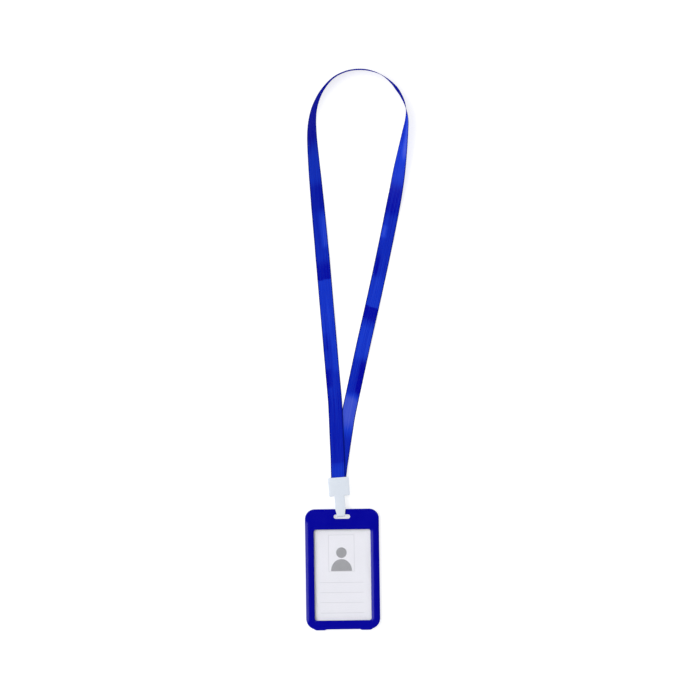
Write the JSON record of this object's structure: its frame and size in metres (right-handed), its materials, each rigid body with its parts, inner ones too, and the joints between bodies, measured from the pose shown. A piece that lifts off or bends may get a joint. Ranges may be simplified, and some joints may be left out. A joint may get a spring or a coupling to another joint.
{
  "type": "lanyard",
  "caption": "Flat satin neck lanyard with a moulded hook clip, carrying a rigid two-part vertical badge holder with a clear window and a slide-in insert card.",
  "frame": {"origin": "middle of the holder's flat back face, which lies on the surface", "axes": "+Z out of the window, +Y from the holder to the neck loop, +X to the right seen from the front"},
  "size_m": [0.1, 0.5144, 0.013],
  "materials": {
    "ribbon_satin": "satin-woven polyester ribbon",
    "clip_plastic": "translucent moulded polypropylene",
    "holder_plastic": "moulded ABS, satin gloss",
    "window_clear": "clear rigid PVC sheet",
    "card_stock": null
  },
  "bodies": {
    "lanyard": {"neck_ribbon": "ribbon_satin", "clip_front": "clip_plastic", "clip_rear": "clip_plastic"},
    "latch": {"clip_latch": "clip_plastic"},
    "holder": {"holder_front_frame": "holder_plastic", "holder_back_shell": "holder_plastic", "front_window": "window_clear"},
    "card": {"insert_card": "card_stock"}
  },
  "joints": [
    {"name": "holder_tip", "type": "hinge", "parent": "lanyard", "child": "holder", "pos_m": [0, 0.0505, 0.0043], "axis": [-1, 0, 0], "range_deg": [0, 25]},
    {"name": "latch_open", "type": "hinge", "parent": "lanyard", "child": "latch", "pos_m": [-0.00202, 0.06847, 0.001], "axis": [-0.9981, -0.061, 0], "range_deg": [0, 15], "stiffness_Nm_per_rad": 0.02, "springref_deg": -5.73},
    {"name": "card_slide", "type": "slide", "parent": "holder", "child": "card", "axis": [0, -1, 0], "range_m": [0, 0.095]}
  ]
}
